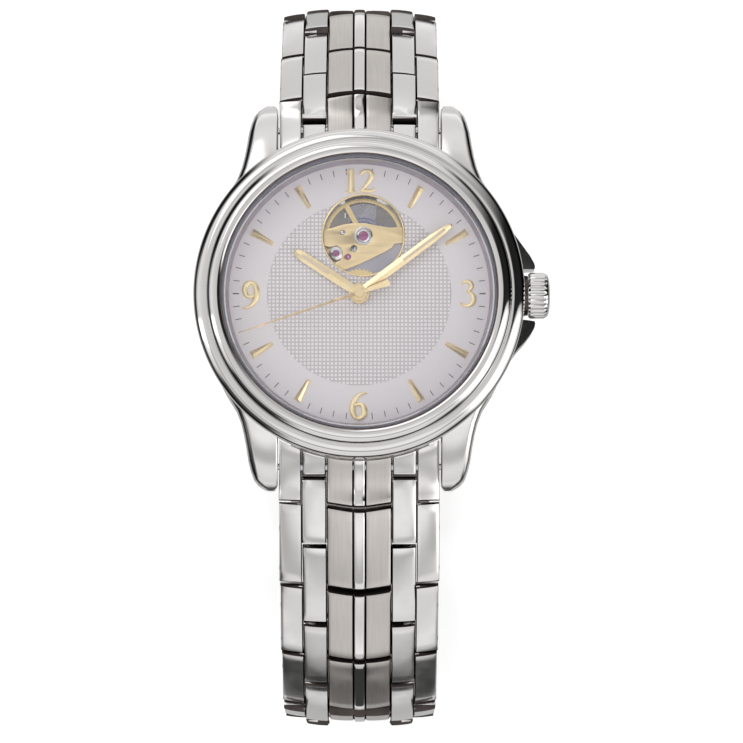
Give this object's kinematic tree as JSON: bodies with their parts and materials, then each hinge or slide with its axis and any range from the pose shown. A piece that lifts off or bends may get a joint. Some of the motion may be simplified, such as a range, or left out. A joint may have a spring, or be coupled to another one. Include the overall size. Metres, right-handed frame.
{
  "type": "wristwatch",
  "caption": "Round open-heart automatic wristwatch with a domed link bracelet and fold-over clasp, closed and standing on the clasp.",
  "frame": {"origin": "centre of the case back's outer face", "axes": "+Z out of the dial, +Y towards 12 o'clock, +X towards the crown at 3 o'clock"},
  "size_m": [0.0431, 0.0906, 0.0475],
  "materials": {
    "polished_steel": "mirror polished stainless steel",
    "brushed_steel": "longitudinally brushed stainless steel",
    "sapphire": "clear flat sapphire",
    "seal": "translucent gasket",
    "dial_silver": "silvered, engine-turned centre",
    "gold": "polished pale yellow gold plate",
    "gilt_movement": "gilt, fine grained",
    "nickel_movement": "nickel plated, striped",
    "steel_arbor": "hardened steel",
    "spring_steel": "blued spring steel"
  },
  "bodies": {
    "head": {"case_middle": "polished_steel", "bezel": "polished_steel", "crystal": "sapphire", "gaskets": "seal", "case_back": "polished_steel", "back_glass": "sapphire", "dial": "dial_silver", "aperture_ring": "gold", "hour_markers": "gold", "main_plate": "nickel_movement", "heart_bridge": "gilt_movement", "train_bridge": "nickel_movement", "screws": "steel_arbor", "end_links": "polished_steel", "spring_bars": "steel_arbor"},
    "hour_body": {"hour_hand": "gold", "hour_wheel": "gilt_movement"},
    "minute_body": {"minute_hand": "gold", "cannon_pinion": "steel_arbor"},
    "minute_wheel_body": {"minute_wheel": "gilt_movement"},
    "seconds_body": {"seconds_hand": "gold", "fourth_wheel": "gilt_movement"},
    "third_body": {"third_wheel": "gilt_movement"},
    "centre_body": {"centre_wheel": "gilt_movement"},
    "barrel_body": {"barrel": "gilt_movement"},
    "escape_body": {"escape_wheel": "steel_arbor"},
    "pallet_body": {"pallet_fork": "steel_arbor"},
    "balance_body": {"balance_wheel": "gilt_movement", "hairspring": "spring_steel"},
    "rotor_body": {"rotor": "nickel_movement"},
    "winding_pinion_body": {"winding_pinion": "steel_arbor"},
    "crown_body": {"crown": "polished_steel", "winding_stem": "steel_arbor"},
    "inner_blade_body": {"inner_blade": "brushed_steel"},
    "middle_blade_body": {"middle_blade": "brushed_steel"},
    "clasp_cover_body": {"clasp_cover": "polished_steel"},
    "link_12_01_body": {"link_12_01": "brushed_steel"},
    "link_12_02_body": {"link_12_02": "brushed_steel"},
    "link_12_03_body": {"link_12_03": "brushed_steel"},
    "link_12_04_body": {"link_12_04": "brushed_steel"},
    "link_12_05_body": {"link_12_05": "brushed_steel"},
    "link_12_06_body": {"link_12_06": "brushed_steel"},
    "link_12_07_body": {"link_12_07": "brushed_steel"},
    "link_12_08_body": {"link_12_08": "brushed_steel"},
    "link_12_09_body": {"link_12_09": "brushed_steel"},
    "link_12_10_body": {"link_12_10": "brushed_steel"},
    "link_12_11_body": {"link_12_11": "brushed_steel"},
    "link_6_01_body": {"link_6_01": "brushed_steel"},
    "link_6_02_body": {"link_6_02": "brushed_steel"},
    "link_6_03_body": {"link_6_03": "brushed_steel"},
    "link_6_04_body": {"link_6_04": "brushed_steel"},
    "link_6_05_body": {"link_6_05": "brushed_steel"},
    "link_6_06_body": {"link_6_06": "brushed_steel"},
    "link_6_07_body": {"link_6_07": "brushed_steel"},
    "link_6_08_body": {"link_6_08": "brushed_steel"},
    "link_6_09_body": {"link_6_09": "brushed_steel"},
    "link_6_10_body": {"link_6_10": "brushed_steel"},
    "link_6_11_body": {"link_6_11": "brushed_steel"},
    "link_6_12_body": {"link_6_12": "brushed_steel"},
    "link_6_13_body": {"link_6_13": "brushed_steel"}
  },
  "joints": [
    {"name": "minute_hand_turn", "type": "hinge", "parent": "head", "child": "minute_body", "pos_m": [0, 0, 0.0078], "axis": [0, 0, -1], "continuous": true},
    {"name": "minute_wheel_turn", "type": "hinge", "parent": "head", "child": "minute_wheel_body", "pos_m": [0.00193, -0.00333, 0.0057], "axis": [0, 0, -1], "continuous": true},
    {"name": "hour_hand_turn", "type": "hinge", "parent": "head", "child": "hour_body", "pos_m": [0, 0, 0.0073], "axis": [0, 0, -1], "continuous": true},
    {"name": "seconds_hand_turn", "type": "hinge", "parent": "head", "child": "seconds_body", "pos_m": [0, 0, 0.00835], "axis": [0, 0, -1], "continuous": true},
    {"name": "third_wheel_turn", "type": "hinge", "parent": "head", "child": "third_body", "pos_m": [-0.00075, -0.00425, 0.0042], "axis": [0, 0, -1], "continuous": true},
    {"name": "centre_wheel_turn", "type": "hinge", "parent": "head", "child": "centre_body", "pos_m": [0.0036, -0.00502, 0.00385], "axis": [0, 0, -1], "continuous": true},
    {"name": "barrel_turn", "type": "hinge", "parent": "head", "child": "barrel_body", "pos_m": [0.00882, -0.00362, 0.0045], "axis": [0, 0, -1], "continuous": true},
    {"name": "escape_wheel_turn", "type": "hinge", "parent": "head", "child": "escape_body", "pos_m": [-0.0028, 0.00497, 0.0052], "axis": [0, 0, -1], "continuous": true},
    {"name": "pallet_fork_rock", "type": "hinge", "parent": "head", "child": "pallet_body", "pos_m": [-0.00135, 0.00455, 0.0052], "axis": [0, 0, 1], "range_deg": [-6, 6]},
    {"name": "balance_swing", "type": "hinge", "parent": "head", "child": "balance_body", "pos_m": [0.0005, 0.0071, 0.0044], "axis": [0, 0, 1], "range_deg": [-270, 270], "stiffness_Nm_per_rad": 0.0000002},
    {"name": "rotor_turn", "type": "hinge", "parent": "head", "child": "rotor_body", "pos_m": [0, 0, 0.002], "axis": [0, 0, 1], "continuous": true},
    {"name": "crown_turn", "type": "hinge", "parent": "head", "child": "winding_pinion_body", "pos_m": [0.0131, 0, 0.0045], "axis": [1, 0, 0], "continuous": true},
    {"name": "crown_pull", "type": "slide", "parent": "winding_pinion_body", "child": "crown_body", "axis": [1, 0, 0], "range_m": [0, 0.0012]},
    {"name": "link_12_01_hinge", "type": "hinge", "parent": "head", "child": "link_12_01_body", "pos_m": [0, 0.0225, 0.0019], "axis": [1, 0, 0], "range_deg": [0, 43]},
    {"name": "link_12_02_hinge", "type": "hinge", "parent": "link_12_01_body", "child": "link_12_02_body", "pos_m": [0, 0.02616, -0.00151], "axis": [1, 0, 0], "range_deg": [0, 7]},
    {"name": "link_12_03_hinge", "type": "hinge", "parent": "link_12_02_body", "child": "link_12_03_body", "pos_m": [0, 0.02937, -0.00534], "axis": [1, 0, 0], "range_deg": [0, 2]},
    {"name": "link_12_04_hinge", "type": "hinge", "parent": "link_12_03_body", "child": "link_12_04_body", "pos_m": [0, 0.03245, -0.00928], "axis": [1, 0, 0], "range_deg": [0, 3]},
    {"name": "link_12_05_hinge", "type": "hinge", "parent": "link_12_04_body", "child": "link_12_05_body", "pos_m": [0, 0.03532, -0.01338], "axis": [1, 0, 0], "range_deg": [0, 15]},
    {"name": "link_12_06_hinge", "type": "hinge", "parent": "link_12_05_body", "child": "link_12_06_body", "pos_m": [0, 0.03703, -0.01807], "axis": [1, 0, 0], "range_deg": [0, 18]},
    {"name": "link_12_07_hinge", "type": "hinge", "parent": "link_12_06_body", "child": "link_12_07_body", "pos_m": [0, 0.0372, -0.02307], "axis": [1, 0, 0], "range_deg": [0, 20]},
    {"name": "link_12_08_hinge", "type": "hinge", "parent": "link_12_07_body", "child": "link_12_08_body", "pos_m": [0, 0.03566, -0.02783], "axis": [1, 0, 0], "range_deg": [0, 22]},
    {"name": "link_12_09_hinge", "type": "hinge", "parent": "link_12_08_body", "child": "link_12_09_body", "pos_m": [0, 0.03244, -0.03166], "axis": [1, 0, 0], "range_deg": [0, 22]},
    {"name": "link_12_10_hinge", "type": "hinge", "parent": "link_12_09_body", "child": "link_12_10_body", "pos_m": [0, 0.02803, -0.034], "axis": [1, 0, 0], "range_deg": [0, 18]},
    {"name": "link_12_11_hinge", "type": "hinge", "parent": "link_12_10_body", "child": "link_12_11_body", "pos_m": [0, 0.0231, -0.03487], "axis": [1, 0, 0], "range_deg": [0, 8]},
    {"name": "link_6_01_hinge", "type": "hinge", "parent": "head", "child": "link_6_01_body", "pos_m": [0, -0.0231, 0.0019], "axis": [-1, 0, 0], "range_deg": [0, 13]},
    {"name": "link_6_02_hinge", "type": "hinge", "parent": "link_6_01_body", "child": "link_6_02_body", "pos_m": [0, -0.02797, 0.00078], "axis": [-1, 0, 0], "range_deg": [0, 6]},
    {"name": "link_6_03_hinge", "type": "hinge", "parent": "link_6_02_body", "child": "link_6_03_body", "pos_m": [0, -0.0327, -0.00085], "axis": [-1, 0, 0], "range_deg": [0, 7]},
    {"name": "link_6_04_hinge", "type": "hinge", "parent": "link_6_03_body", "child": "link_6_04_body", "pos_m": [0, -0.03719, -0.00304], "axis": [-1, 0, 0], "range_deg": [0, 13]},
    {"name": "link_6_05_hinge", "type": "hinge", "parent": "link_6_04_body", "child": "link_6_05_body", "pos_m": [0, -0.04108, -0.00619], "axis": [-1, 0, 0], "range_deg": [0, 9]},
    {"name": "link_6_06_hinge", "type": "hinge", "parent": "link_6_05_body", "child": "link_6_06_body", "pos_m": [0, -0.04442, -0.00991], "axis": [-1, 0, 0], "range_deg": [0, 8]},
    {"name": "link_6_07_hinge", "type": "hinge", "parent": "link_6_06_body", "child": "link_6_07_body", "pos_m": [0, -0.04722, -0.01405], "axis": [-1, 0, 0], "range_deg": [0, 10]},
    {"name": "link_6_08_hinge", "type": "hinge", "parent": "link_6_07_body", "child": "link_6_08_body", "pos_m": [0, -0.04925, -0.01862], "axis": [-1, 0, 0], "range_deg": [0, 22]},
    {"name": "link_6_09_hinge", "type": "hinge", "parent": "link_6_08_body", "child": "link_6_09_body", "pos_m": [0, -0.04943, -0.02362], "axis": [-1, 0, 0], "range_deg": [0, 23]},
    {"name": "link_6_10_hinge", "type": "hinge", "parent": "link_6_09_body", "child": "link_6_10_body", "pos_m": [0, -0.04764, -0.02828], "axis": [-1, 0, 0], "range_deg": [0, 24]},
    {"name": "link_6_11_hinge", "type": "hinge", "parent": "link_6_10_body", "child": "link_6_11_body", "pos_m": [0, -0.0441, -0.03182], "axis": [-1, 0, 0], "range_deg": [0, 23]},
    {"name": "link_6_12_hinge", "type": "hinge", "parent": "link_6_11_body", "child": "link_6_12_body", "pos_m": [0, -0.03947, -0.03369], "axis": [-1, 0, 0], "range_deg": [0, 15]},
    {"name": "link_6_13_hinge", "type": "hinge", "parent": "link_6_12_body", "child": "link_6_13_body", "pos_m": [0, -0.0345, -0.0343], "axis": [-1, 0, 0], "range_deg": [0, 4]},
    {"name": "inner_blade_hinge", "type": "hinge", "parent": "link_6_13_body", "child": "inner_blade_body", "pos_m": [0, -0.02951, -0.03456], "axis": [-1, 0, 0], "range_deg": [0, 3]},
    {"name": "middle_blade_hinge", "type": "hinge", "parent": "inner_blade_body", "child": "middle_blade_body", "pos_m": [0, 0.01521, -0.0347], "axis": [1, 0, 0], "range_deg": [0, 85]},
    {"name": "clasp_cover_hinge", "type": "hinge", "parent": "middle_blade_body", "child": "clasp_cover_body", "pos_m": [0, -0.02641, -0.03535], "axis": [-1, 0, 0], "range_deg": [0, 110]}
  ],
  "couplings": [
    {"joint": "minute_wheel_turn", "follows": "minute_hand_turn", "ratio": -0.33333},
    {"joint": "hour_hand_turn", "follows": "minute_hand_turn", "ratio": 0.083333},
    {"joint": "third_wheel_turn", "follows": "seconds_hand_turn", "ratio": -0.125},
    {"joint": "centre_wheel_turn", "follows": "seconds_hand_turn", "ratio": 0.016667},
    {"joint": "barrel_turn", "follows": "seconds_hand_turn", "ratio": -0.0033333},
    {"joint": "escape_wheel_turn", "follows": "seconds_hand_turn", "ratio": -8}
  ]
}
